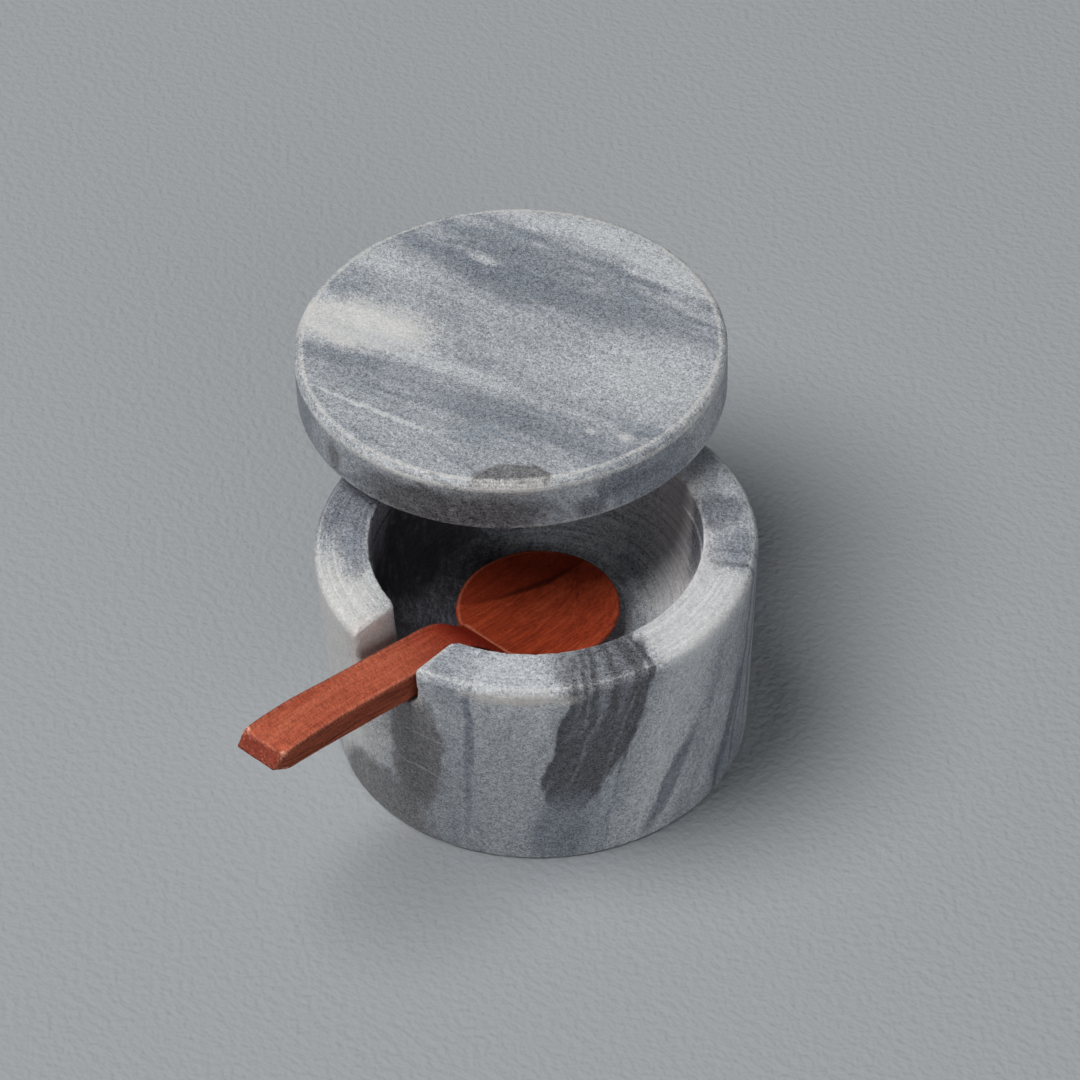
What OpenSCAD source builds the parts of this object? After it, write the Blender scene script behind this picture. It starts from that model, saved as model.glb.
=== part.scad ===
// Marble salt cellar: a turned cup with a spoon notch, a lift-off lid and a carved wooden spoon.
// Origin at the centre of the cup's base, +Z up, the notch and the spoon's handle along -Y.
// The lid lies pushed back on the rim and the spoon rests in the cup.

/* [Cup] */
// Diameter of the cup across its rim
cup_d = 89; // [85:0.5:96]
// Diameter of the cup across its foot
foot_d = 85.3; // [82:0.1:88]
// Height of the cup
cup_h = 49; // [47:0.5:56]
// Diameter of the straight mouth that takes the lid's plug
mouth_d = 67; // [64:0.5:69]
// Depth of the straight mouth
mouth_depth = 5.9; // [5:0.1:7.5]
// Width of the turned ledge below the straight mouth
ledge_w = 0.5; // [0.4:0.1:1.6]
// Depth of the hollow from the rim to its floor
hollow_depth = 26; // [25:0.5:29]
// Radius of the rim's outer edge
rim_round = 2; // [1:0.1:2.5]
// Radius of the rim's inner edge
mouth_round = 0.7; // [0.4:0.1:2]
// Radius round the foot
foot_round = 0.9; // [0.4:0.1:2]

/* [Notch] */
// Width of the notch for the spoon's handle
notch_w = 15.3; // [14:0.1:18]
// Depth of the notch below the rim at the outer wall
notch_depth = 10.4; // [9.8:0.1:12]
// Radius in the notch's bottom corners
notch_corner = 3.75; // [2:0.05:5]
// Radius of the cheeks' edges and upright corners
cheek_round = 1.3; // [0.9:0.1:2.4]
// Radius of the sill's two edges
sill_round = 1; // [0.4:0.1:1.5]

/* [Lid] */
// Thickness of the lid's disc
lid_t = 12.1; // [8:0.1:14]
// Overhang of the lid past the cup's rim when it is shut
lid_over = 0; // [-1:0.1:1.5]
// Running gap between the plug and the mouth, on the radius
plug_gap = 0.5; // [0.3:0.05:1]
// Gap between the plug and the ledge when the lid is shut
plug_clear = 1.9; // [0.5:0.1:2.5]
// Radius of the lid's upper edge
lid_round = 1.5; // [0.8:0.1:2.5]
// Radius of the lid's lower edge
lid_low_round = 1.1; // [0.5:0.1:2]
// Radius of the plug's lower edge
plug_round = 0.6; // [0.3:0.1:1]
// How far the lid lies pushed back from the cup's axis
lid_push = 42; // [40:0.1:44]
// Direction in which the lid is pushed back, from +X
lid_turn = 138.8; // [130:0.1:150]

/* [Spoon] */
// Diameter of the spoon's round bowl
bowl_d = 33.3; // [29:0.1:34]
// Height of the bowl from its underside to its rim
bowl_h = 7.9; // [7:0.1:9]
// Depth of the bowl's dished hollow
dish_depth = 2.8; // [2:0.1:4.5]
// Width of the bowl's rim
lip_w = 0.6; // [0.5:0.1:1.6]
// Rounding of the rim's outer edge
lip_round = 0.5; // [0.3:0.1:1]
// Distance of the bowl's centre from the cup's axis, towards the notch
bowl_out = 1.2; // [0:0.05:2]
// Sideways place of the spoon in its notch
spoon_side = 1; // [0:0.1:1.4]
// Distance of the crease in front of the neck from the bowl's outer edge
crease_in = 2.5; // [1:0.05:4]
// Length of the neck and handle, from the crease to the tip
handle_l = 64.8; // [60:0.1:75]
// Width of the handle where it crosses the cup's wall
handle_w = 9.5; // [8:0.1:11]
// Thickness of the handle where it crosses the cup's wall
handle_t = 6.3; // [5:0.1:6.6]
// Wear on the handle's long edges
edge_wear = 0.55; // [0.3:0.05:1]

/* [Hidden] */
$fn = 72;
arc_steps = 6;
hollow_steps = 22;
bowl_steps = 12;
handle_steps = 3;
// clearance under the spoon's bowl on the hollow's floor
rest_gap = 0.3;
// clearance under the handle at the sill's inner edge
sill_gap = 0.45;
// how far cuts run past what they cut
overrun = 4;
// fall of the sill towards the hollow, in height over distance
sill_fall = 0.2;
// fullness of the hollow's curve: 2 is an ellipse, more is squarer
hollow_power = 2.6;
// fullness of the curve under the spoon's bowl
bowl_power = 1.75;

cup_r = cup_d / 2;
foot_r = foot_d / 2;
mouth_r = mouth_d / 2;
pit_r = mouth_r - ledge_w;
floor_z = cup_h - hollow_depth;
ledge_z = cup_h - mouth_depth;
// small slope that ends the straight mouth on its ledge
ledge_soft = ledge_w / 4;

lid_r = cup_r + lid_over;
plug_r = mouth_r - plug_gap;
plug_h = mouth_depth - plug_clear;

bowl_r = bowl_d / 2;
dish_r = bowl_r - lip_w;
crease_out = bowl_r - crease_in;
bowl_z = floor_z + rest_gap;
// how far the handle's root reaches into the bowl
root_in = 4 * lip_w;

// Handle from the crease to its tip. Each row holds the distance along the handle, the height of
// its upper face, its thickness and its width, as shares of handle_l, handle_rise, handle_t and
// handle_w, and the width of its underside as a share of that width.
handle_shares = [
    [0, 0, 0.32, 1.7, 0.5],
    [0.03, 0.1, 0.42, 1.46, 0.58],
    [0.06, 0.205, 0.61, 1.28, 0.7],
    [0.09, 0.31, 0.79, 1.14, 0.82],
    [0.12, 0.405, 0.92, 1.06, 0.91],
    [0.15, 0.478, 0.98, 1.02, 0.96],
    [0.19, 0.545, 1.02, 1, 1],
    [0.24, 0.59, 1.01, 1, 1],
    [0.3, 0.63, 1, 1, 1],
    [0.38, 0.69, 1, 1, 1],
    [0.48, 0.76, 1, 1, 1],
    [0.6, 0.84, 0.98, 1.02, 1],
    [0.72, 0.918, 0.94, 1.05, 1],
    [0.82, 0.972, 0.9, 1.07, 1],
    [0.9, 1, 0.84, 1.08, 1],
    [0.94, 1.003, 0.76, 1.08, 1],
    [0.965, 0.997, 0.6, 1.07, 1],
    [1, 0.908, 0.09, 1.03, 1]
];
last_row = len(handle_shares) - 1;

// Height of the sill at a distance from the cup's axis.
function sill_z(s) = cup_h - notch_depth - (cup_r - s) * sill_fall;

// Share in column k of the table at a share u of the handle's length.
function share_at(u, k) = lookup(u, [for (row = handle_shares) [row[0], row[k]]]);

// The handle rises so that it passes over the sill's inner edge with its clearance.
sill_share = (mouth_r - bowl_out - crease_out) / handle_l;
under_z = sill_z(mouth_r) + sill_gap - bowl_z - bowl_h;
handle_rise = (under_z + handle_t * share_at(sill_share, 2)) / share_at(sill_share, 1);

// Points of an arc from angle a to angle b.
function arc(c, r, a, b) = [
    for (i = [0 : arc_steps]) let (t = a + (b - a) * i / arc_steps) c + r * [cos(t), sin(t)]
];

// Radius of the cup's outer wall at a height.
function wall_share(z) = (z - foot_round) / (cup_h - rim_round - foot_round);
function wall_r(z) = foot_r + (cup_r - foot_r) * min(1, max(0, wall_share(z)));

// Radius of the hollow at a height, and its curve from the ledge to the middle of the floor.
function pit_share(z) = min(1, max(0, ledge_z - z) / (ledge_z - floor_z));
function hollow_r(z) = z >= ledge_z
    ? mouth_r
    : pit_r * pow(1 - pow(pit_share(z), hollow_power), 1 / hollow_power);
function hollow_curve() = [
    for (i = [0 : hollow_steps])
        let (t = 90 * i / hollow_steps, w = pow(cos(t), 2 / hollow_power), d = pow(sin(t), 2 / hollow_power))
        [pit_r * w, ledge_z - (ledge_z - floor_z) * d]
];

// Middle of a ring of points.
function middle(ring) = [for (p = ring) 1] * ring / len(ring);

// Closed skin over rings of n points each, with a fan of triangles over each end.
module skin(rings) {
    n = len(rings[0]);
    last = len(rings) - 1;
    head = n * len(rings);
    polyhedron(
        points = concat([for (r = rings) each r], [middle(rings[0]), middle(rings[last])]),
        faces = [
            for (j = [0 : n - 1]) let (k = (j + 1) % n) each concat(
                [[head, k, j], [head + 1, last * n + j, last * n + k]],
                [for (i = [0 : last - 1]) each [
                    [i * n + j, i * n + k, (i + 1) * n + j],
                    [i * n + k, (i + 1) * n + k, (i + 1) * n + j]
                ]]
            )
        ],
        convexity = 4
    );
}

// The turned cup before its notch is cut.
module cup_blank() {
    rotate_extrude()
    polygon(concat(
        [[0, 0]],
        arc([foot_r - foot_round, foot_round], foot_round, -90, 0),
        arc([cup_r - rim_round, cup_h - rim_round], rim_round, 0, 90),
        arc([mouth_r + mouth_round, cup_h - mouth_round], mouth_round, 90, 180),
        [[mouth_r, ledge_z + ledge_soft], [mouth_r - ledge_soft, ledge_z]],
        hollow_curve()
    ));
}

// Depth and opening of a rounding's first step from the face that it meets, as shares of its
// radius. The rounding runs on in a straight line, by that depth, out through the face.
step_share = 1 - cos(90 / arc_steps);
step_rise = sin(90 / arc_steps) / step_share;

// How far the notch opens at a point d_wall from a wall's face and d_top below the rim, so that
// its edges are rounded and their corners blend like a ball.
function flare(d_wall, d_top, r) =
    let (u = min(r * (1 + step_share), norm([max(0, r - d_wall), max(0, r - d_top)])))
    u < r ? r - sqrt(r * r - u * u) : r + (u - r) * step_rise;

// Steps of a rounding, as distances from the face that it meets, outwards in.
function round_steps(r) = concat(
    [-r * step_share],
    [for (i = [arc_steps - 1 : -1 : 0]) r * (1 - sin(90 * i / arc_steps))]
);

// Rings of the notch's cut from the hollow outwards: each holds its wall, 0 for the hollow and
// 1 for the outside, and its distance inside that wall's face.
in_steps = round_steps(cheek_round);
notch_rings = concat(
    [[0, -overrun]],
    [for (d = in_steps) [0, d]],
    [for (i = [arc_steps : -1 : 0]) [1, in_steps[i]]],
    [[1, -overrun]]
);
function ring_r(ring, z) = ring[0] == 0 ? hollow_r(z) + ring[1] : wall_r(z) - ring[1];

// Heights of the points down the notch's side.
cheek_heights = concat(
    [cup_h + overrun],
    [for (d = in_steps) cup_h - d],
    [ledge_z + ledge_soft, ledge_z]
);
function cheek_point(ring, z) =
    let (rho = ring_r(ring, z), x = notch_w / 2 + flare(ring[1], cup_h - z, cheek_round))
    [x, -sqrt(rho * rho - x * x), z];

// Point of the notch's bottom corner at an angle, 0 at the side and 90 at the sill.
function corner_point(ring, a) =
    let (
        f = flare(ring[1], notch_depth, cheek_round + (sill_round - cheek_round) * sin(a)),
        x = notch_w / 2 - notch_corner + (notch_corner + f) * cos(a),
        h = notch_corner - (notch_corner + f) * sin(a),
        rho = ring_r(ring, sill_z(cup_r) + h),
        s = sqrt(rho * rho - x * x)
    )
    [x, -s, sill_z(s) + h];

function half_ring(ring) = concat(
    [for (z = cheek_heights) cheek_point(ring, z)],
    [for (i = [0 : arc_steps]) corner_point(ring, 90 * i / arc_steps)]
);
function notch_ring(ring) =
    let (half = half_ring(ring), n = len(half))
    concat(half, [for (i = [n - 1 : -1 : 0]) [-half[i][0], half[i][1], half[i][2]]]);

module body() {
    color([0.62, 0.64, 0.68])
    difference() {
        cup_blank();
        skin([for (ring = notch_rings) notch_ring(ring)]);
    }
}

module lid() {
    color([0.56, 0.59, 0.64])
    translate([lid_push * cos(lid_turn), lid_push * sin(lid_turn), cup_h])
    rotate_extrude()
    polygon(concat(
        [[0, 0]],
        arc([plug_r - plug_round, plug_round], plug_round, -90, 0),
        [[plug_r, plug_h]],
        arc([lid_r - lid_low_round, plug_h + lid_low_round], lid_low_round, -90, 0),
        arc([lid_r - lid_round, plug_h + lid_t - lid_round], lid_round, 0, 90),
        [[0, plug_h + lid_t]]
    ));
}

// The spoon's bowl before it is dished.
module bowl_blank() {
    side_h = bowl_h - 2 * lip_round;
    rotate_extrude()
    polygon(concat(
        [for (i = [0 : bowl_steps]) let (u = i / bowl_steps) [bowl_r * u, side_h * pow(u, bowl_power)]],
        arc([bowl_r - lip_round, bowl_h - lip_round], lip_round, 0, 90),
        [[0, bowl_h]]
    ));
}

// The dish as part of a ball that meets the rim's inner edge.
module dish() {
    ball_r = (dish_r * dish_r + dish_depth * dish_depth) / (2 * dish_depth);
    ball_a = asin(dish_r / ball_r);
    rotate_extrude()
    polygon(concat(
        [
            for (i = [0 : bowl_steps]) let (a = ball_a * i / bowl_steps)
                [ball_r * sin(a), bowl_h - dish_depth + ball_r * (1 - cos(a))]
        ],
        [[dish_r, bowl_h + overrun], [0, bowl_h + overrun]]
    ));
}

// Smooth value of column k of the handle's table, a share u of the way from row i to the next.
function cell(i, k) = handle_shares[max(0, min(last_row, i))][k];
function trend(i, k) = (cell(i + 1, k) - cell(i - 1, k)) / (cell(i + 1, 0) - cell(i - 1, 0));
function smooth(i, k, u) =
    let (step = cell(i + 1, 0) - cell(i, 0), a = u * u * (3 - 2 * u))
    cell(i, k) * (1 - a) + cell(i + 1, k) * a
        + step * u * (1 - u) * (trend(i, k) * (1 - u) - trend(i + 1, k) * u);
// The end facet runs straight.
function along(i, k, u) = i == last_row - 1 ? cell(i, k) * (1 - u) + cell(i + 1, k) * u : smooth(i, k, u);

// Section of the handle: four worn corners, with the underside as wide as told.
function handle_ring(s, top, t, w, under_w) =
    let (c = min(edge_wear, t / 3))
    [for (q = [3 : -1 : 0]) for (i = [2 : -1 : 0])
        let (a = 90 * q + 45 * i, half = (q < 2 ? w : under_w) / 2 - c, x = q == 0 || q == 3 ? half : -half)
        [x + c * cos(a), -s, top + (q < 2 ? -c : c - t) + c * sin(a)]];
function handle_section(i, u, s) =
    let (w = along(i, 3, u) * handle_w)
    handle_ring(s, along(i, 1, u) * handle_rise, along(i, 2, u) * handle_t, w, along(i, 4, u) * w);

module handle() {
    skin(concat(
        [handle_section(0, 0, -root_in)],
        [
            for (i = [0 : last_row - 1]) for (k = [0 : handle_steps - 1]) let (u = k / handle_steps)
                handle_section(i, u, (cell(i, 0) * (1 - u) + cell(i + 1, 0) * u) * handle_l)
        ],
        [handle_section(last_row - 1, 1, handle_l)]
    ));
}

module spoon() {
    color([0.62, 0.27, 0.16])
    translate([spoon_side, -bowl_out, bowl_z])
    difference() {
        union() {
            bowl_blank();
            translate([0, -crease_out, bowl_h])
            handle();
        }
        intersection() {
            dish();
            translate([-bowl_r, -crease_out, 0])
            cube([bowl_d, bowl_d, bowl_h + 2 * overrun]);
        }
    }
}

body();
lid();
spoon();
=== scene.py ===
from math import cos, hypot, pi, radians, sin, sqrt

import bpy
import numpy as np
from mathutils import Matrix, Vector, noise


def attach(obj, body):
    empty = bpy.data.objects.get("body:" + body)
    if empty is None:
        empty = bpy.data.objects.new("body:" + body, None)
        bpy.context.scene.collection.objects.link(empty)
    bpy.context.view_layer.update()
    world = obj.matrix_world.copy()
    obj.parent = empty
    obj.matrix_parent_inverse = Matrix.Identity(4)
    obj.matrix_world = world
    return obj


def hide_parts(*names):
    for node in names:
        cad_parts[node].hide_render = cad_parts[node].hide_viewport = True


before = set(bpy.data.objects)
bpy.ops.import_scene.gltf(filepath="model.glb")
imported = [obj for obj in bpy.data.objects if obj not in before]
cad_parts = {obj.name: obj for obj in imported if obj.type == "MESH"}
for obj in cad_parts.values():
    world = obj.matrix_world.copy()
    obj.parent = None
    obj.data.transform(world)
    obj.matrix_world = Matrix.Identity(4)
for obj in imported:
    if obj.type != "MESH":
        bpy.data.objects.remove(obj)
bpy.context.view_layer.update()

# All sizes below are millimetres in the part's own frame until they meet a mesh or the camera.
MM = 0.001

# Camera

VIEW_TURN = radians(43.6)
VIEW_RISE = radians(42.754)
VIEW_ROLL = radians(-2.053)
VIEW_DISTANCE = 833.027
VIEW_ASIDE = 0.452
VIEW_ABOVE = -35.055
# the focal length and the image's width, in its pixels
FOCAL_LENGTH = 4000
IMAGE_WIDTH = 1080
SENSOR = 36
NEAREST = 0.01


def photographers_camera():
    back = Vector((cos(VIEW_RISE) * sin(VIEW_TURN), -cos(VIEW_RISE) * cos(VIEW_TURN), sin(VIEW_RISE)))
    level = Vector((cos(VIEW_TURN), sin(VIEW_TURN), 0))
    above = back.cross(level)
    across = level * cos(VIEW_ROLL) + above * sin(VIEW_ROLL)
    upward = above * cos(VIEW_ROLL) - level * sin(VIEW_ROLL)
    place = (back * VIEW_DISTANCE - across * VIEW_ASIDE - upward * VIEW_ABOVE) * MM
    data = bpy.data.cameras.new("camera")
    data.sensor_width = SENSOR
    data.lens = FOCAL_LENGTH / IMAGE_WIDTH * SENSOR
    data.clip_start = NEAREST
    camera = bpy.data.objects.new("camera", data)
    bpy.context.scene.collection.objects.link(camera)
    camera.matrix_world = Matrix.Translation(place) @ Matrix((across, upward, back)).transposed().to_4x4()
    bpy.context.scene.camera = camera


photographers_camera()

# Shader maths


class Value:
    """A number or vector on a socket, so that shader maths reads as an expression."""

    def __init__(self, finish, socket):
        self.finish = finish
        self.socket = socket

    def _math(self, operation, *terms):
        return self.finish.node("ShaderNodeMath", {"operation": operation}, dict(enumerate(terms)))

    def __add__(self, other):
        return self._math("ADD", self, other)

    def __sub__(self, other):
        return self._math("SUBTRACT", self, other)

    def __rsub__(self, other):
        return self._math("SUBTRACT", other, self)

    def __mul__(self, other):
        return self._math("MULTIPLY", self, other)

    def __pow__(self, other):
        return self._math("POWER", self, other)

    def __abs__(self):
        return self._math("ABSOLUTE", self)

    __radd__ = __add__
    __rmul__ = __mul__

    def most(self, other):
        return self._math("MAXIMUM", self, other)

    def ease(self, start, end):
        """0 before start and 1 past end, eased between; start may be the larger."""
        if start > end:
            return 1 - self.ease(end, start)
        settings = {"interpolation_type": "SMOOTHSTEP"}
        return self.finish.node("ShaderNodeMapRange", settings, {0: self, 1: start, 2: end})


# the Mix node's colour sockets
MIX_A, MIX_B, MIX_RESULT = 6, 7, 2


class Finish:
    """A material under construction, with its node tree and the piece's own coordinates."""

    def __init__(self, name):
        self.material = bpy.data.materials.new(name)
        self.material.use_nodes = True
        self.tree = self.material.node_tree
        self.tree.nodes.clear()
        place = self.node("ShaderNodeTexCoord", out="Object")
        self.place = self.vector("SCALE", place, scale=1 / MM)

    def node(self, kind, settings=None, inputs=None, out=0):
        made = self.tree.nodes.new(kind)
        for name, value in (settings or {}).items():
            if name == "stops":
                ramp = made.color_ramp
                for stop, (at, colour) in enumerate(value):
                    element = ramp.elements[stop] if stop < 2 else ramp.elements.new(at)
                    element.position = at
                    element.color = (*colour, 1)
            else:
                setattr(made, name, value)
        for name, value in (inputs or {}).items():
            if isinstance(value, Value):
                self.tree.links.new(value.socket, made.inputs[name])
            elif isinstance(value, (tuple, Vector)) and made.inputs[name].type == "RGBA":
                made.inputs[name].default_value = (*value, 1)
            else:
                made.inputs[name].default_value = value
        return Value(self, made.outputs[out])

    def vector(self, operation, a, b=(0, 0, 0), scale=1.0):
        out = 1 if operation in ("LENGTH", "DOT_PRODUCT") else 0
        return self.node("ShaderNodeVectorMath", {"operation": operation}, {0: a, 1: b, 3: scale}, out)

    def mix(self, a, b, share):
        settings = {"data_type": "RGBA", "clamp_factor": True}
        return self.node("ShaderNodeMix", settings, {0: share, MIX_A: a, MIX_B: b}, MIX_RESULT)

    def brighten(self, colour, factor):
        """The colour times a number that varies over the surface."""
        return self.vector("SCALE", colour, scale=factor)

    def parts(self, vector):
        return [self.node("ShaderNodeSeparateXYZ", None, {0: vector}, k) for k in range(3)]

    def point(self, x, y, z):
        return self.node("ShaderNodeCombineXYZ", None, {0: x, 1: y, 2: z})

    def noise(self, point, scale=1.0, detail=2.0, rough=0.5, out=0):
        inputs = {"Vector": point, "Scale": scale, "Detail": detail, "Roughness": rough}
        return self.node("ShaderNodeTexNoise", None, inputs, out)

    def streaks(self, point, rates, detail, rough):
        """Noise with its own number of cells to the millimetre along each axis."""
        return self.noise(self.vector("MULTIPLY", point, rates), 1.0, detail, rough)

    def cells(self, point, scale):
        """A number from 0 to 1 for each crystal."""
        colour = self.node("ShaderNodeTexVoronoi", None, {"Vector": point, "Scale": scale}, "Color")
        return self.vector("DOT_PRODUCT", colour, (1, 0, 0))

    def warp(self, point, scale, amount, detail=2.0):
        shift = self.vector("SUBTRACT", self.noise(point, scale, detail, out=1), (0.5, 0.5, 0.5))
        return self.vector("ADD", point, self.vector("SCALE", shift, scale=amount))

    def local(self, point, place, turn, size):
        """The point in a frame of its own: moved to place, turned and divided by its sizes."""
        inputs = {"Vector": point, "Location": place, "Rotation": turn, "Scale": size}
        return self.node("ShaderNodeMapping", {"vector_type": "TEXTURE"}, inputs)

    def bump(self, height, depth):
        return self.node("ShaderNodeBump", None, {"Height": height, "Distance": depth * MM, "Strength": 1.0})

    def close(self, **sockets):
        inputs = {name.replace("_", " "): value for name, value in sockets.items()}
        surface = self.node("ShaderNodeBsdfPrincipled", None, inputs)
        output = self.tree.nodes.new("ShaderNodeOutputMaterial")
        self.tree.links.new(surface.socket, output.inputs[0])
        return self.material


# Sizes shared with the part

CUP_R, FOOT_R, CUP_H = 44.5, 42.65, 49.0
MOUTH_R, MOUTH_DEPTH, LEDGE_W, HOLLOW_DEPTH = 33.5, 5.9, 0.5, 26.0
RIM_ROUND, MOUTH_ROUND, FOOT_ROUND = 2.0, 0.7, 0.9
NOTCH_W, NOTCH_DEPTH, NOTCH_CORNER, CHEEK_ROUND, SILL_ROUND, SILL_FALL = 15.3, 10.4, 3.75, 1.3, 1.0, 0.2
HOLLOW_POWER = 2.6
LID_T, PLUG_R, PLUG_H, LID_ROUND, LID_LOW_ROUND, PLUG_ROUND = 12.1, 33.0, 4.0, 1.5, 1.1, 0.6
LID_PUSH, LID_TURN = 42.0, radians(138.8)
SPOON_X, BOWL_Y, BOWL_R, BOWL_TOP, LIP_W, CREASE_OUT, HANDLE_L = 1.0, -1.2, 16.65, 31.2, 0.6, 14.15, 64.8

LID_X, LID_Y = LID_PUSH * cos(LID_TURN), LID_PUSH * sin(LID_TURN)
LEDGE_Z, FLOOR_Z, PIT_R = CUP_H - MOUTH_DEPTH, CUP_H - HOLLOW_DEPTH, MOUTH_R - LEDGE_W
LEDGE_SOFT = LEDGE_W / 4
LID_TOP = CUP_H + PLUG_H + LID_T
CREASE_Y = BOWL_Y - CREASE_OUT
TIP_Y = CREASE_Y - HANDLE_L

# facets of the turned pieces: round the axis, and along each stretch of a profile
LATHE_STEPS, ARC = 384, 12
UNDERSIDE_STEPS, FOOT_STEPS, WALL_STEPS, RIM_STEPS = 12, 6, 40, 8
MOUTH_STEPS, LEDGE_STEPS, HOLLOW_STEPS = 4, 2, 48
PLUG_FACE_STEPS, PLUG_EDGE_STEPS, PLUG_WALL_STEPS = 10, 5, 4
LID_UNDER_STEPS, LID_LOW_STEPS, LID_SIDE_STEPS, BEVEL_STEPS, LID_TOP_STEPS = 8, 9, 16, 12, 36
# the first ring round the axis
AXIS_RING = 1
# facets of the notch's rounded edges, and down its cheeks
ROUND_STEPS, CHEEK_STEPS = 10, 5
SMOOTH_LIMIT = 38


def arc(x, z, r, start, end, steps=ARC):
    angles = [radians(start + (end - start) * k / steps) for k in range(steps + 1)]
    return [(x + r * cos(a), z + r * sin(a)) for a in angles]


def run(a, b, steps):
    """Points between a and b, without b."""
    return [(a[0] + (b[0] - a[0]) * k / steps, a[1] + (b[1] - a[1]) * k / steps) for k in range(steps)]


# Meshes


def piece_of(name, points, faces):
    mesh = bpy.data.meshes.new(name)
    mesh.from_pydata([tuple(c * MM for c in p) for p in points], [], faces)
    mesh.validate()
    piece = bpy.data.objects.new(name, mesh)
    bpy.context.scene.collection.objects.link(piece)
    return piece


def lathe(name, profile, x=0.0, y=0.0):
    """Turns a profile, which starts and ends on the axis, about an upright axis."""
    rings = profile[1:-1]
    points = [(x, y, profile[0][1]), (x, y, profile[-1][1])]
    for r, z in rings:
        points += [
            (x + r * cos(2 * pi * k / LATHE_STEPS), y + r * sin(2 * pi * k / LATHE_STEPS), z)
            for k in range(LATHE_STEPS)
        ]
    faces = []
    for k in range(LATHE_STEPS):
        n = (k + 1) % LATHE_STEPS
        faces.append((0, 2 + n, 2 + k))
        for i in range(len(rings) - 1):
            a, b = 2 + i * LATHE_STEPS, 2 + (i + 1) * LATHE_STEPS
            faces.append((a + k, a + n, b + n, b + k))
        last = 2 + (len(rings) - 1) * LATHE_STEPS
        faces.append((1, last + k, last + n))
    return piece_of(name, points, faces)


def skin(name, rings):
    """Closed skin over rings of equal count, with a fan of triangles over each end."""
    count, last = len(rings[0]), len(rings) - 1
    points = [p for ring in rings for p in ring]
    head = len(points)
    for ring in (rings[0], rings[last]):
        points.append(tuple(sum(p[c] for p in ring) / count for c in range(3)))
    faces = []
    for j in range(count):
        k = (j + 1) % count
        faces += [(head, j, k), (head + 1, last * count + k, last * count + j)]
        for i in range(last):
            a, b = i * count, (i + 1) * count
            faces += [(a + j, b + j, a + k), (a + k, b + j, b + k)]
    return piece_of(name, points, faces)


def settle(piece):
    """Applies the piece's modifiers to its mesh."""
    graph = bpy.context.evaluated_depsgraph_get()
    mesh = bpy.data.meshes.new_from_object(piece.evaluated_get(graph))
    piece.modifiers.clear()
    piece.data = mesh


def smooth_shade(piece, limit):
    piece.data.shade_smooth()
    piece.data.set_sharp_from_angle(angle=radians(limit))


def corners_of(mesh):
    points = np.empty(len(mesh.vertices) * 3)
    mesh.vertices.foreach_get("co", points)
    return points.reshape(-1, 3) / MM


def normals_of(mesh):
    normals = np.empty(len(mesh.vertices) * 3)
    mesh.vertices.foreach_get("normal", normals)
    return normals.reshape(-1, 3)


# the nibbles come from a coarse noise with a finer one on it, and leave part of the edge sound
FINER_NIBBLE, FINER_SHARE, SOUND_SHARE = 2.7, 0.5, 0.12
# corners with less than this share of the wear stay as they are
LEAST_SHARE = 0.01


def edge_share(gap, reach, fade):
    """0 at reach from an edge and 1 nearer than reach less fade."""
    return np.clip((reach - gap) / fade, 0, 1) ** 2


def wear_edges(piece, nearness, bite, grain):
    """Nibbles the piece's worn edges: nearness is 1 on an edge and 0 away from it."""
    mesh = piece.data
    points, normals = corners_of(mesh), normals_of(mesh)
    share = nearness(points)
    for index in np.nonzero(share > LEAST_SHARE)[0]:
        p = Vector(points[index])
        nibble = noise.noise(p / grain) + FINER_SHARE * noise.noise(p / grain * FINER_NIBBLE) - SOUND_SHARE
        points[index] -= normals[index] * max(0.0, nibble) * bite * share[index]
    mesh.vertices.foreach_set("co", (points * MM).ravel())
    mesh.update()


# The cup


def wall_r(z):
    share = (z - FOOT_ROUND) / (CUP_H - RIM_ROUND - FOOT_ROUND)
    return FOOT_R + (CUP_R - FOOT_R) * min(1, max(0, share))


def hollow_r(z):
    if z >= LEDGE_Z:
        return MOUTH_R
    share = min(1, (LEDGE_Z - z) / (LEDGE_Z - FLOOR_Z))
    return PIT_R * (1 - share ** HOLLOW_POWER) ** (1 / HOLLOW_POWER)


def hollow_curve():
    """The hollow below its ledge, from the ledge in to the axis."""
    curve = []
    for k in range(HOLLOW_STEPS):
        t = radians(90 * k / HOLLOW_STEPS)
        drop = (LEDGE_Z - FLOOR_Z) * sin(t) ** (2 / HOLLOW_POWER)
        curve.append((PIT_R * cos(t) ** (2 / HOLLOW_POWER), LEDGE_Z - drop))
    return curve + [(0, FLOOR_Z)]


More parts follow.
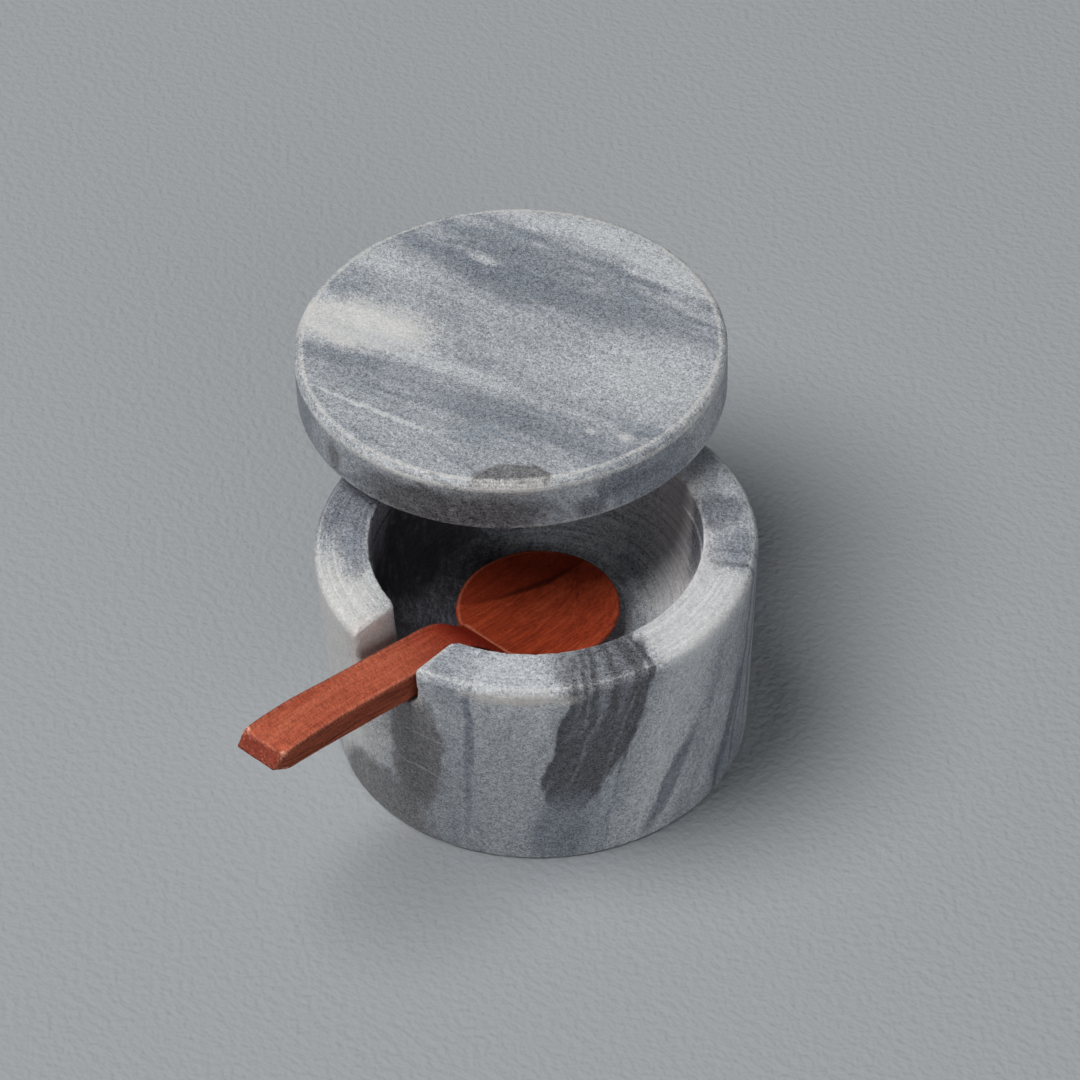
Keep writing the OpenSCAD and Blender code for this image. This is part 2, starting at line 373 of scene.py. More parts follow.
def cup_profile():
    wall_low = (FOOT_R, FOOT_ROUND)
    wall_high = (CUP_R, CUP_H - RIM_ROUND)
    hollow = hollow_curve()
    return (
        [(0, 0)] + run((AXIS_RING, 0), (FOOT_R - FOOT_ROUND, 0), UNDERSIDE_STEPS)
        + arc(FOOT_R - FOOT_ROUND, FOOT_ROUND, FOOT_ROUND, -90, 0, FOOT_STEPS)[:-1]
        + run(wall_low, wall_high, WALL_STEPS)
        + arc(CUP_R - RIM_ROUND, CUP_H - RIM_ROUND, RIM_ROUND, 0, 90)[:-1]
        + run((CUP_R - RIM_ROUND, CUP_H), (MOUTH_R + MOUTH_ROUND, CUP_H), RIM_STEPS)
        + arc(MOUTH_R + MOUTH_ROUND, CUP_H - MOUTH_ROUND, MOUTH_ROUND, 90, 180)[:-1]
        + run((MOUTH_R, CUP_H - MOUTH_ROUND), (MOUTH_R, LEDGE_Z + LEDGE_SOFT), MOUTH_STEPS)
        + run((MOUTH_R, LEDGE_Z + LEDGE_SOFT), (MOUTH_R - LEDGE_SOFT, LEDGE_Z), LEDGE_STEPS)
        + run((MOUTH_R - LEDGE_SOFT, LEDGE_Z), hollow[0], LEDGE_STEPS) + hollow
    )


STEP_SHARE = 1 - cos(radians(90 / ROUND_STEPS))
STEP_RISE = sin(radians(90 / ROUND_STEPS)) / STEP_SHARE


def flare(d_wall, d_top, r):
    """How far the notch opens near its edges, at these depths behind the wall and below the top."""
    u = min(r * (1 + STEP_SHARE), hypot(max(0, r - d_wall), max(0, r - d_top)))
    return r - sqrt(r * r - u * u) if u < r else r + (u - r) * STEP_RISE


# how far the notch's cutter stands out past the cup
OVERRUN = 4


def notch_rings():
    """Rings of the notch's cutter, from inside the mouth out through the wall."""
    steps = [-CHEEK_ROUND * STEP_SHARE]
    steps += [CHEEK_ROUND * (1 - cos(radians(90 * k / ROUND_STEPS))) for k in range(1, ROUND_STEPS + 1)]
    inner = [(0, depth) for depth in steps]
    outer = [(1, depth) for depth in reversed(steps)]
    places = [(0, -OVERRUN)] + inner + outer + [(1, -OVERRUN)]
    heights = [CUP_H + OVERRUN] + [CUP_H - d for d in steps]
    below_edge, above_ledge = heights[-1], LEDGE_Z + LEDGE_SOFT
    rise = above_ledge - below_edge
    heights += [below_edge + rise * k / CHEEK_STEPS for k in range(1, CHEEK_STEPS + 1)]
    heights += [LEDGE_Z]

    def sill_z(s):
        return CUP_H - NOTCH_DEPTH - (CUP_R - s) * SILL_FALL

    rings = []
    for side, depth in places:
        def across(z):
            return wall_r(z) - depth if side else hollow_r(z) + depth

        half = []
        for z in heights:
            x = NOTCH_W / 2 + flare(depth, CUP_H - z, CHEEK_ROUND)
            half.append((x, -sqrt(across(z) ** 2 - x * x), z))
        for k in range(ROUND_STEPS + 1):
            a = radians(90 * k / ROUND_STEPS)
            f = flare(depth, NOTCH_DEPTH, CHEEK_ROUND + (SILL_ROUND - CHEEK_ROUND) * sin(a))
            x = NOTCH_W / 2 - NOTCH_CORNER + (NOTCH_CORNER + f) * cos(a)
            h = NOTCH_CORNER - (NOTCH_CORNER + f) * sin(a)
            s = sqrt(across(sill_z(CUP_R) + h) ** 2 - x * x)
            half.append((x, -s, sill_z(s) + h))
        rings.append(half + [(-x, y, z) for x, y, z in reversed(half)])
    return rings


# the notch lies in front of NOTCH_FRONT, and its cheeks' edges wear down to BELOW_SILL under its sill
NOTCH_FRONT, BELOW_SILL, FAR = -28, 2, 9
CUP_WEAR_REACH, CUP_WEAR_FADE, FOOT_SPARED = 2.6, 1.6, 0.4
CUP_BITE, CUP_NIBBLE = 0.34, 1.5


def cup_edges(points):
    """Nearness to the cup's turned and cut edges."""
    x, y, z = points.T
    r = np.hypot(x, y)
    aside = abs(x) - NOTCH_W / 2
    front = y < NOTCH_FRONT
    cheek = front & (z > CUP_H - NOTCH_DEPTH - BELOW_SILL)
    gaps = [
        np.hypot(r - CUP_R, z - CUP_H),
        np.hypot(r - MOUTH_R, z - CUP_H),
        np.hypot(r - FOOT_R, z) + FOOT_SPARED,
        np.where(front, np.hypot(aside, z - CUP_H), FAR),
        np.where(cheek, np.hypot(aside, r - CUP_R), FAR),
        np.where(cheek, np.hypot(aside, r - MOUTH_R), FAR),
    ]
    return edge_share(np.min(gaps, axis=0), CUP_WEAR_REACH, CUP_WEAR_FADE)


def cup():
    piece = lathe("cup", cup_profile())
    cutter = skin("cutter", notch_rings())
    cut = piece.modifiers.new("notch", "BOOLEAN")
    cut.operation, cut.solver, cut.object = "DIFFERENCE", "EXACT", cutter
    settle(piece)
    bpy.data.objects.remove(cutter)
    wear_edges(piece, cup_edges, CUP_BITE, CUP_NIBBLE)
    smooth_shade(piece, SMOOTH_LIMIT)
    return piece


# The lid

# the upper edge is a worn bevel with a little crown
BEVEL_IN, BEVEL_DOWN, BEVEL_CROWN = LID_ROUND - 0.1, LID_ROUND - 0.2, 0.182
LID_WEAR_REACH, LID_WEAR_FADE, LOW_EDGE_SPARED = 2.4, 1.3, 0.2
LID_BITE, LID_NIBBLE = 0.26, 1.3


def lid_profile():
    base, under, top = CUP_H, CUP_H + PLUG_H, LID_TOP
    bevel = []
    for k in range(BEVEL_STEPS + 1):
        t = k / BEVEL_STEPS
        swell = BEVEL_CROWN * 4 * t * (1 - t)
        bevel.append((CUP_R - BEVEL_IN * t + swell, top - BEVEL_DOWN * (1 - t) + swell))
    return (
        [(0, base)] + run((AXIS_RING, base), (PLUG_R - PLUG_ROUND, base), PLUG_FACE_STEPS)
        + arc(PLUG_R - PLUG_ROUND, base + PLUG_ROUND, PLUG_ROUND, -90, 0, PLUG_EDGE_STEPS)[:-1]
        + run((PLUG_R, base + PLUG_ROUND), (PLUG_R, under), PLUG_WALL_STEPS)
        + run((PLUG_R, under), (CUP_R - LID_LOW_ROUND, under), LID_UNDER_STEPS)
        + arc(CUP_R - LID_LOW_ROUND, under + LID_LOW_ROUND, LID_LOW_ROUND, -90, 0, LID_LOW_STEPS)[:-1]
        + run((CUP_R, under + LID_LOW_ROUND), (CUP_R, top - BEVEL_DOWN), LID_SIDE_STEPS) + bevel[:-1]
        + run(bevel[-1], (AXIS_RING, top), LID_TOP_STEPS) + [(0, top)]
    )


def lid_edges(points):
    """Nearness to the lid's upper and lower edges."""
    x, y, z = points.T
    r = np.hypot(x - LID_X, y - LID_Y)
    upper = np.hypot(r - CUP_R, z - LID_TOP)
    lower = np.hypot(r - CUP_R, z - CUP_H - PLUG_H) + LOW_EDGE_SPARED
    return edge_share(np.minimum(upper, lower), LID_WEAR_REACH, LID_WEAR_FADE)


def lid():
    piece = lathe("lid", lid_profile(), LID_X, LID_Y)
    wear_edges(piece, lid_edges, LID_BITE, LID_NIBBLE)
    smooth_shade(piece, SMOOTH_LIMIT)
    return piece


# The spoon

WELD, EVEN_PITCH, SOFTEN_SHARE, SOFTEN_PASSES, ARRIS_PASSES = 0.002, 0.24, 0.5, 4, 3
# knife work: the lengths of its low undulations along each axis, and their depth
KNIFE_WAVES = (((5, 11, 5), 0.11), ((1.9, 4.2, 1.9), 0.035))
# how much fuller the handle's left side is than its right, and where that starts and ends along Y
FULL_SIDE, FULL_START, FULL_END = 0.6, CREASE_Y - 4.65, TIP_Y + 0.35
FULL_START_EASE, FULL_END_EASE = 10, 3


def give_number(mesh, name, numbers):
    attribute = mesh.attributes.new(name, "FLOAT", "POINT")
    attribute.data.foreach_set("value", np.asarray(numbers, dtype=np.float32))


def ridges(mesh, passes):
    """How sharply the surface turns over at each corner: above 0 on an arris, below 0 in a groove."""
    points, normals = corners_of(mesh), normals_of(mesh)
    ends = np.empty(len(mesh.edges) * 2, dtype=np.int32)
    mesh.edges.foreach_get("vertices", ends)
    a, b = ends.reshape(-1, 2).T
    step = points[b] - points[a]
    square = (step ** 2).sum(1)
    count = np.bincount(a, minlength=len(points)) + np.bincount(b, minlength=len(points))
    turn = (
        np.bincount(a, -(normals[a] * step).sum(1) / square, len(points))
        + np.bincount(b, (normals[b] * step).sum(1) / square, len(points))
    ) / count
    for _ in range(passes):
        around = np.bincount(a, turn[b], len(points)) + np.bincount(b, turn[a], len(points))
        turn = (turn + around) / (1 + count)
    return turn, normals


def spoon():
    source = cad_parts["spoon"]
    piece = bpy.data.objects.new("spoon_carved", source.data.copy())
    piece.data.materials.clear()
    bpy.context.scene.collection.objects.link(piece)
    weld = piece.modifiers.new("weld", "WELD")
    weld.merge_threshold = WELD * MM
    even = piece.modifiers.new("even", "REMESH")
    even.mode, even.voxel_size = "VOXEL", EVEN_PITCH * MM
    hand = piece.modifiers.new("hand", "SMOOTH")
    hand.factor, hand.iterations = SOFTEN_SHARE, SOFTEN_PASSES
    settle(piece)
    mesh = piece.data
    points = corners_of(mesh)
    turn, normals = ridges(mesh, ARRIS_PASSES)
    for index, (p, n) in enumerate(zip(points, normals)):
        swell = sum(noise.noise(Vector(p / lengths)) * depth for lengths, depth in KNIFE_WAVES)
        if p[0] < SPOON_X:
            past_neck = max(0, (FULL_START - p[1]) / FULL_START_EASE)
            before_tip = max(0, (p[1] - FULL_END) / FULL_END_EASE)
            swell += FULL_SIDE * min(1, past_neck, before_tip) * abs(n[0])
        points[index] += n * swell
    mesh.vertices.foreach_set("co", (points * MM).ravel())
    give_number(mesh, "arris", turn)
    give_number(mesh, "flank", np.abs(normals[:, 0]))
    mesh.update()
    mesh.shade_smooth()
    return piece


# Marble

CREAM = (0.63, 0.625, 0.61)
PALE = (0.50, 0.515, 0.53)
GREY = (0.345, 0.365, 0.39)
SLATE = (0.185, 0.205, 0.24)
INK = (0.09, 0.095, 0.115)
WORN_STONE = (0.60, 0.59, 0.57)
# shades of the bands and their places on the ramp: its two ends first, then those between
BAND_STOPS = [
    (0.34, SLATE), (0.8, PALE),
    (0.5, (0.27, 0.295, 0.33)), (0.6, GREY), (0.68, (0.385, 0.405, 0.435)),
]
# a band's length, its height in the face and its thickness
BAND_SIZE = (24, 7.5, 3.2)
# the finer streaks in a band, in cells to each of its sizes
FINE_RATES = (1.2, 2.4, 3.4)
# waves, as noise cells to the millimetre and millimetres of shift: the bands' and the marks'
BROAD_WAVES, CLOSE_WAVES, MARK_WAVES = (0.035, 16), (0.16, 2.6), (0.14, 3.2)
# grain of the stone, in noise cells to the millimetre
CRYSTALS, DUST, MOTTLE, LATHE_LINES = 2.5, 4.8, 0.9, 1.5
STONE_BUMP = 0.1


def blotch_turn(along, face):
    """Turn of a blotch whose length runs along one direction and whose thinnest side is face."""
    x = Vector(along).normalized()
    z = Vector(face)
    z = (z - x * z.dot(x)).normalized()
    return Matrix((x, z.cross(x), z)).transposed().to_euler()


def blotches(finish, colour, point, streak, fine, rows):
    """Lays marks into the stone. A row gives a mark's place, the direction of its length and that of its
    thickness, its three sizes, its raggedness, the softness of its edge, its colour and its share."""
    for place, along, face, size, ragged, edge, mark, share in rows:
        inside = finish.local(point, place, blotch_turn(along, face), size)
        reach = finish.vector("LENGTH", inside) + (streak - 0.5) * ragged
        colour = finish.mix(colour, mark, reach.ease(1 + edge, 1 - edge) * (share * 0.5 + fine * share))
    return colour


def marble(name, rows, along, face, axis, turning):
    """Banded crystalline marble with the marks in rows. turning gives the nearness to worn edges and the
    strength of the lines that the lathe leaves."""
    finish = Finish(name)
    place = finish.place
    bent = finish.warp(finish.warp(place, *BROAD_WAVES), *CLOSE_WAVES)
    banded = finish.local(bent, (0, 0, 0), blotch_turn(along, face), BAND_SIZE)
    streak = finish.noise(banded, 1.0, 4, 0.62)
    fine = finish.streaks(banded, FINE_RATES, 3, 0.6)
    cloud = finish.noise(place, 0.055, 3, 0.55)
    shade = streak * 0.62 + fine * 0.28 + cloud * 0.25
    colour = finish.node("ShaderNodeValToRGB", {"stops": BAND_STOPS}, {0: shade})
    colour = blotches(finish, colour, finish.warp(place, *MARK_WAVES), streak, fine, rows)

    # turned surfaces carry fine lines round the axis
    x, y, z = finish.parts(finish.vector("SUBTRACT", place, (*axis, 0)))
    r = (x * x + y * y) ** 0.5
    bearing = finish.node("ShaderNodeMath", {"operation": "ARCTAN2"}, {0: y, 1: x})
    lines = finish.noise(finish.point(r * LATHE_LINES, z * LATHE_LINES, bearing * 1.2), 1.0, 4, 0.75)
    worn, ringed = turning(x, y, z, r)

    # worn edges show less in the darkest stone, and grain more
    sound = finish.parts(colour)[0].ease(0.08, 0.26)
    colour = finish.mix(colour, WORN_STONE, worn * (0.2 + streak * 0.75) * (0.3 + sound * 0.7))

    # the grain shows less in the lightest stone
    crystal = finish.cells(place, CRYSTALS)
    dust = finish.cells(place, DUST)
    mottle = finish.noise(place, MOTTLE, 2, 0.6)
    light = finish.parts(colour)[0].ease(0.40, 0.56)
    grains = (crystal - 0.5) * 0.5 + (dust - 0.5) * 0.74 + (mottle - 0.5) * 0.5
    tone = 0.96 + grains * (1.5 - sound * 0.5 - light * 0.65) + (lines - 0.5) * ringed
    colour = finish.brighten(colour, tone)

    height = crystal * 0.25 + dust * 0.2 + mottle * 0.3 + lines * ringed * 0.7
    return finish.close(
        Base_Color=colour,
        Roughness=0.58 + crystal * 0.14 - worn * 0.05,
        Normal=finish.bump(height, STONE_BUMP),
        IOR=1.49,
    )


def edge_of(r, z, at_r, at_z, reach, solid=0.35):
    """1 on an edge at at_r and at_z, and 0 at reach from it; solid is the share that stays full."""
    gap = ((r - at_r) * (r - at_r) + (z - at_z) * (z - at_z)) ** 0.5
    return gap.ease(reach, reach * solid)


def lid_turning(x, y, z, r):
    """Worn edges of the lid, which are its bevel's two edges above all, and its lathe lines."""
    bevel_top = edge_of(r, z, CUP_R - LID_ROUND, LID_TOP, 0.7, 0.3)
    bevel_foot = edge_of(r, z, CUP_R, LID_TOP - LID_ROUND, 0.9, 0.3)
    around = edge_of(r, z, CUP_R, LID_TOP, 2.3) * 0.3
    under = edge_of(r, z, CUP_R, CUP_H + PLUG_H, 1.6) * 0.5
    side = r.ease(CUP_R - 0.8, CUP_R - 0.2)
    return bevel_top.most(bevel_foot).most(around).most(under), side * 0.5 + 0.04


# the turning marks deepen above the hollow's floor, over these heights, and on the rim's left, over
# these places along X
ABOVE_FLOOR, LEFT_RIM = (5, 8), (-12, -22)


def cup_turning(x, y, z, r):
    """Worn edges of the cup, and its lathe lines, deepest in the hollow and on the left of the rim."""
    front = y.ease(NOTCH_FRONT, NOTCH_FRONT - 3)
    aside = abs(x)
    half = NOTCH_W / 2
    above_sill = z.ease(CUP_H - NOTCH_DEPTH - 1, CUP_H - NOTCH_DEPTH + 2)
    cheeks = edge_of(aside, z, half, CUP_H, 1.8).most(edge_of(aside, r, half, CUP_R, 1.9) * above_sill)
    cheeks = cheeks.most(edge_of(aside, r, half, MOUTH_R, 1.5) * above_sill) * front
    rim = edge_of(r, z, CUP_R - 0.9, CUP_H - 0.1, 0.55, 0.4) * 0.8
    around = edge_of(r, z, CUP_R, CUP_H, 2.9) * 0.2
    mouth = edge_of(r, z, MOUTH_R, CUP_H, 0.9) * 0.4
    foot = edge_of(r, z, FOOT_R, 0, 1.2) * 0.5
    worn = rim.most(around).most(mouth).most(cheeks).most(foot)
    above_floor = z.ease(*ABOVE_FLOOR)
    inside = r.ease(CUP_R - 1.2, CUP_R - 2.2) * above_floor
    deep = r.ease(MOUTH_R + 0.6, MOUTH_R) * above_floor
    left_rim = x.ease(*LEFT_RIM) * z.ease(CUP_H - 1.5, CUP_H - 0.5)
    cut_face = aside.ease(half + 0.9, half + 0.2) * front
    return worn, (0.16 + inside * 0.7 + deep * 0.9 + left_rim * 0.8) * (1 - cut_face)


# the cup's bands run nearly upright, and the lid's this many degrees from +X
CUP_ALONG, CUP_FACE = (0.1, 0.25, 1), (0.8, 0.6, 0)
LID_BANDS, LID_FACE = 10, (-0.17, 0.94, 0.3)


def lid_along(lean=0.0):
    turn = radians(LID_BANDS + lean)
    return (cos(turn), sin(turn), 0)


def on_lid(u, v, z=LID_TOP):
    """A place on the lid: u along the bands and v across them, from its middle."""
    x, y, _ = lid_along()
    return (LID_X + u * x - v * y, LID_Y + u * y + v * x, z)


def lid_rows():
    def row(u, v, size, ragged, edge, colour, share, lean=0.0, z=LID_TOP):
        """lean turns the mark's length from that of the bands."""
        return (on_lid(u, v, z), lid_along(lean), LID_FACE, size, ragged, edge, colour, share)

    return [
        row(-15, 17.4, (21, 12, 5.6), 1.1, 0.5, SLATE, 0.95, 6),
        row(-34, 9, (12, 12, 4.5), 1.2, 0.6, PALE, 0.6, 8),
        row(-15, 24.8, (17, 12, 3.8), 1.2, 0.6, SLATE, 0.75, 3),
        row(8, 17.6, (30, 12, 4.6), 1.4, 0.7, SLATE, 0.78, 4),
        row(-2, 30.5, (32, 12, 1.1), 1.0, 0.6, SLATE, 0.75, -2),
        row(-8, 34.5, (26, 12, 0.7), 1.0, 0.6, SLATE, 0.6, -1),
        row(16, 25.5, (24, 12, 0.9), 1.0, 0.6, SLATE, 0.6, -2),
        row(-22, 36, (18, 12, 2.6), 1.0, 0.5, PALE, 0.7, -2),
        row(12, 37, (30, 12, 4.0), 1.0, 0.5, PALE, 0.85, -5),
        row(-2, -21.8, (46, 14, 4.8), 1.7, 0.9, SLATE, 0.48, 6),
        row(-30, -22, (14, 12, 2.2), 1.4, 0.6, SLATE, 0.5, 4),
        row(24, -20, (24, 12, 3.0), 1.3, 0.55, SLATE, 0.6, 4),
        row(20, 3, (28, 14, 9), 1.0, 0.6, PALE, 0.3),
        row(31, 6, (13, 14, 10), 1.0, 0.7, (0.51, 0.525, 0.54), 0.6),
        row(-30, -11.6, (16, 12, 6.8), 1.1, 0.4, CREAM, 0.95, 12),
        row(-12, -13.8, (22, 12, 2.4), 1.2, 0.6, PALE, 0.75, 1),
        row(-12, -32.4, (17, 6, 0.5), 0.5, 0.5, (0.56, 0.57, 0.575), 0.85),
        row(19, 32.2, (11, 6, 0.5), 0.5, 0.5, PALE, 0.9),
        row(-19, 19.9, (3.6, 4, 1.0), 1.2, 0.6, PALE, 0.8),
        row(23.6, -36.4, (8.6, 2.2, 7.2), 0.35, 0.1, (0.15, 0.148, 0.152), 0.95, 27),
        row(23.6, -37.7, (10, 1.3, 1.6), 0.3, 0.4, (0.47, 0.46, 0.45), 0.85, 32, LID_TOP - 1),
        row(36, -14, (1.5, 2, 0.9), 0.3, 0.5, CREAM, 0.7),
        row(29, -15.4, (1.1, 2, 0.7), 0.3, 0.5, CREAM, 0.6),
        # the rim's own dark marks, below the worn edge
        row(14, -42, (26, 6, 6.0), 0.9, 0.5, (0.09, 0.086, 0.093), 0.9, 14, LID_TOP - 8),
        row(39.6, -20.2, (5.0, 3.0, 2.4), 2.2, 0.6, INK, 0.85, 55, LID_TOP - 5),
        row(36, -27, (4.0, 2.4, 1.6), 2.2, 0.6, INK, 0.8, 50, LID_TOP - 9),
        row(42, -14, (3.4, 2.4, 1.2), 2.2, 0.6, INK, 0.75, 62, LID_TOP - 6),
        row(-16, -41, (2.2, 3.4, 5.5), 2.0, 0.6, (0.12, 0.115, 0.12), 0.7, 0, LID_TOP - 7),
        row(-34, -32, (14, 10, 5.0), 1.2, 0.5, SLATE, 0.5, -30, LID_TOP - 7),
        row(42, -14, (12, 14, 5.0), 1.2, 0.5, SLATE, 0.7, 50, LID_TOP - 5),
    ]


def on_cup(angle, z, r=CUP_R):
    """A place on the cup: its bearing from +X, its height and its distance from the axis."""
    return (r * cos(radians(angle)), r * sin(radians(angle)), z)


def cup_rows():
    def row(angle, z, size, ragged, edge, colour, share, lean=0.0, r=CUP_R):
        """lean tips the mark's length from upright, towards greater angles at its top."""
        a = radians(angle)
        round_way = Vector((-sin(a), cos(a), 0))
        along = Vector((0, 0, 1)) * cos(radians(lean)) + round_way * sin(radians(lean))
        return (on_cup(angle, z, r), along, round_way, size, ragged, edge, colour, share)

    return [
        row(-116, 32, (30, 13, 15), 0.7, 0.4, CREAM, 0.95),
        row(-55, 40, (42, 12, 9), 0.8, 0.5, PALE, 0.6),
        row(-58, 20, (20, 12, 11), 1.0, 0.6, (0.29, 0.31, 0.34), 0.7, 6),
        row(-8, 34, (44, 12, 7), 0.9, 0.5, PALE, 0.8, 14),
        row(6, 53, (9, 12, 15), 0.9, 0.4, (0.60, 0.605, 0.61), 0.9, 0, 39),
        # the broad dark streak, broken into dark lines where it comes up to the rim
        row(-28.5, 49, (8, 26, 9.2), 0.7, 0.16, (0.095, 0.098, 0.11), 1.0, 14),
        row(-31.2, 37, (18, 26, 8.3), 0.42, 0.1, (0.08, 0.082, 0.092), 1.0, 21),
        row(-39, 24.5, (11.5, 18, 6.0), 0.42, 0.1, (0.08, 0.082, 0.092), 1.0, 10),
        row(-35, 51, (9, 14, 0.6), 0.5, 0.5, (0.22, 0.235, 0.26), 0.65, 14),
        row(-31.8, 52, (15, 14, 0.5), 0.5, 0.5, (0.2, 0.215, 0.24), 0.65, 14),
        row(-27.9, 52, (15, 14, 1.2), 0.8, 0.5, (0.2, 0.215, 0.24), 0.8, 14),
        row(-22.6, 52, (13, 14, 1.2), 0.8, 0.5, (0.17, 0.18, 0.205), 0.8, 14),
        row(-17.8, 48, (18, 14, 0.5), 0.6, 0.5, (0.24, 0.255, 0.285), 0.5, 14),
        row(-34.5, 34, (14, 14, 0.45), 0.6, 0.6, (0.2, 0.205, 0.22), 0.5, 18),
        row(-25.5, 36, (12, 14, 0.4), 0.6, 0.6, (0.2, 0.205, 0.22), 0.5, 18),
        row(-40, 42, (22, 14, 0.5), 0.6, 0.5, (0.06, 0.063, 0.075), 0.8, 15),
        row(-19.5, 42, (20, 14, 0.7), 0.6, 0.5, (0.055, 0.058, 0.07), 0.8, 15),
        # the brown-grey mark below the notch, crossed by light hair veins
        row(-96, 26, (10, 8, 6), 1.0, 0.4, (0.45, 0.455, 0.46), 0.85, 5),
        row(-81.5, 26, (17.5, 10, 6.2), 0.8, 0.14, (0.18, 0.176, 0.183), 0.95, 5),
        row(-84, 16, (8, 8, 4.6), 0.9, 0.4, (0.14, 0.138, 0.148), 0.5, 8),
        row(-80, 31, (0.24, 9, 6.5), 0.4, 0.5, PALE, 0.4, 8),
        row(-81, 20.5, (0.24, 9, 6), 0.4, 0.5, PALE, 0.35, 6),
        row(-97, 3, (11, 10, 14.5), 0.7, 0.2, (0.19, 0.187, 0.195), 0.95, 3),
        row(-66, 38, (26, 14, 0.9), 0.8, 0.5, SLATE, 0.95, 2),
        row(-71, 50, (7, 14, 3.4), 0.9, 0.5, (0.24, 0.26, 0.30), 0.7, 2),
        row(-52, 46.5, (1.5, 5, 10), 1.4, 0.6, (0.58, 0.54, 0.51), 0.9),
        row(-56, 51, (4, 12, 11), 1.0, 0.5, (0.47, 0.49, 0.52), 0.8, 0, 39),
        row(-43, 7, (11, 10, 6), 0.9, 0.5, SLATE, 0.95, 10),
        row(14, 15, (15, 8, 1.7), 0.7, 0.4, (0.115, 0.125, 0.15), 0.95, 22),
        row(-10.5, 14, (14, 8, 2.1), 0.7, 0.4, (0.16, 0.175, 0.205), 0.9, 27),
        row(20, 26, (40, 12, 2.4), 1.3, 0.5, SLATE, 0.45, 16),
        row(27, 30, (40, 12, 3.4), 1.1, 0.5, (0.22, 0.235, 0.265), 0.45, 10),
        row(24, 34, (36, 12, 0.7), 0.6, 0.5, INK, 0.65, 12),
        row(31, 34, (36, 12, 0.6), 0.6, 0.5, INK, 0.8, 9),
        # painted light on the notch's left cheek, lifting the handle's shadow there
        row(-100, 42, (9, 7, 3.4), 0.5, 0.4, (0.66, 0.585, 0.55), 0.85, 0, 41),
        # the hollow: painted light on its right and back walls, and painted shade on its left wall
        row(48, 36, (20, 7, 20), 0.7, 0.5, (0.62, 0.605, 0.615), 0.9, 0, 30),
        row(110, 30, (14, 8, 16), 0.8, 0.5, (0.38, 0.385, 0.405), 0.6, 0, 28),
        # painted shade, close to black, on the hollow's left wall
        row(-150, 28, (13, 14, 28), 0.7, 0.45, (0.052, 0.05, 0.062), 0.95, 0, 20),
        row(-168, 34, (18, 8, 21), 0.6, 0.25, (0.016, 0.014, 0.02), 1.0, 0, 31),
        # marks on the rim
        row(52, 46, (12, 9, 5.0), 0.9, 0.35, (0.15, 0.16, 0.185), 0.9, 0, 35),
        row(37, 49, (6, 5, 4.0), 0.9, 0.4, SLATE, 0.7, 0, 41),
        row(-138, 47, (10, 3, 12), 1.6, 0.5, SLATE, 0.85, 0, 36),
        row(-163, 48, (8, 6, 9), 0.9, 0.4, (0.15, 0.162, 0.19), 0.9, 0, 40),
        row(-152, 48, (10, 8, 8), 1.4, 0.5, (0.16, 0.17, 0.2), 0.9, 0, 39),
    ]


# Wood

BOWL_STOPS = [(0.32, (0.17, 0.018, 0.006)), (0.7, (0.42, 0.07, 0.026)), (0.5, (0.31, 0.042, 0.014))]
HANDLE_STOPS = [(0.3, (0.33, 0.062, 0.032)), (0.7, (0.49, 0.13, 0.072)), (0.5, (0.41, 0.094, 0.05))]
DARK_FLANK, BROWN_FLANK = (0.045, 0.010, 0.005), (0.225, 0.052, 0.027)
# painted shade on the bowl beyond its growth line, and the growth line's own dark colour
SHADED_WOOD, GROWTH_LINE = (0.15, 0.014, 0.004), (0.06, 0.008, 0.003)
PORE, GROOVE = (0.10, 0.022, 0.012), (0.10, 0.016, 0.007)
# painted shade on the neck's slope, then darker oiled wood on the handle's left edge and end facet
NECK_SHADE, OILED_EDGE, OILED_FACET = (0.24, 0.012, 0.003), (0.19, 0.03, 0.014), (0.17, 0.028, 0.016)
# lighter wood on scuffed arrises; a painted highlight with light wear along the rim's inner edge
SCUFFED, RIM_WEAR_AND_HIGHLIGHT = (0.66, 0.33, 0.23), (0.58, 0.2, 0.11)
# the grain follows the handle, which rises outwards, and turns on the growth line through the bowl
GRAIN_TILT, LINE_PLACE, LINE_TURN = radians(-11), (-5.7, 6, 0), radians(-22)
# the waves in its grain, and its rings, grain, fibres and pores in noise cells to the millimetre
GRAIN_WAVES = (0.06, 2.5)
RING_RATES, GRAIN_RATES = (0.34, 0.018, 0.34), (1.7, 0.07, 1.7)
FIBRE_RATES, PORE_RATES, SPECKS = (5.5, 0.5, 5.5), (3.4, 0.42, 3.4), 3.4
# knife marks cross the bowl and the handle at these turns from the grain
SCUFF_TURN, HATCH_TURN = radians(-38), radians(68)
SCUFF_SIZE, HATCH_SIZE = (0.22, 1.1, 0.4), (0.28, 1.6, 0.5)
# along Y, where the wood changes from the bowl's to the handle's, and on towards the tip, where the
# flanks turn brown, where the painted shade on the neck fades out and where the arrises wear more
HANDLE_BLEND, OUTER_BLEND, FLANK_BLEND = (-14, -24), (-16, -46), (-19, -26)
NECK_BLEND, WEAR_BLEND = (-40, -19), (-22, -34)
# along Y, the sloped facet at the handle's tip and the crease before it
FACET_START, TIP_CREASE = TIP_Y + 2.85, TIP_Y + 2.75
# along X, the handle's oiled left edge and the left part of the bowl's lip, which shows its edge
LEFT_EDGE_BLEND, LIP_BLEND = (-2.4, -4.4), (-4, -9)
# the painted highlight across the foot of the neck fades out between these distances from its middle
CHORD_BLEND = (8.2, 6.8)
WOOD_BUMP = 0.07


def knife_marks(finish, axis, turn, size):
    return finish.noise(finish.local(axis, (0, 0, 0), (0, 0, turn), size), 1.0, 2, 0.6)


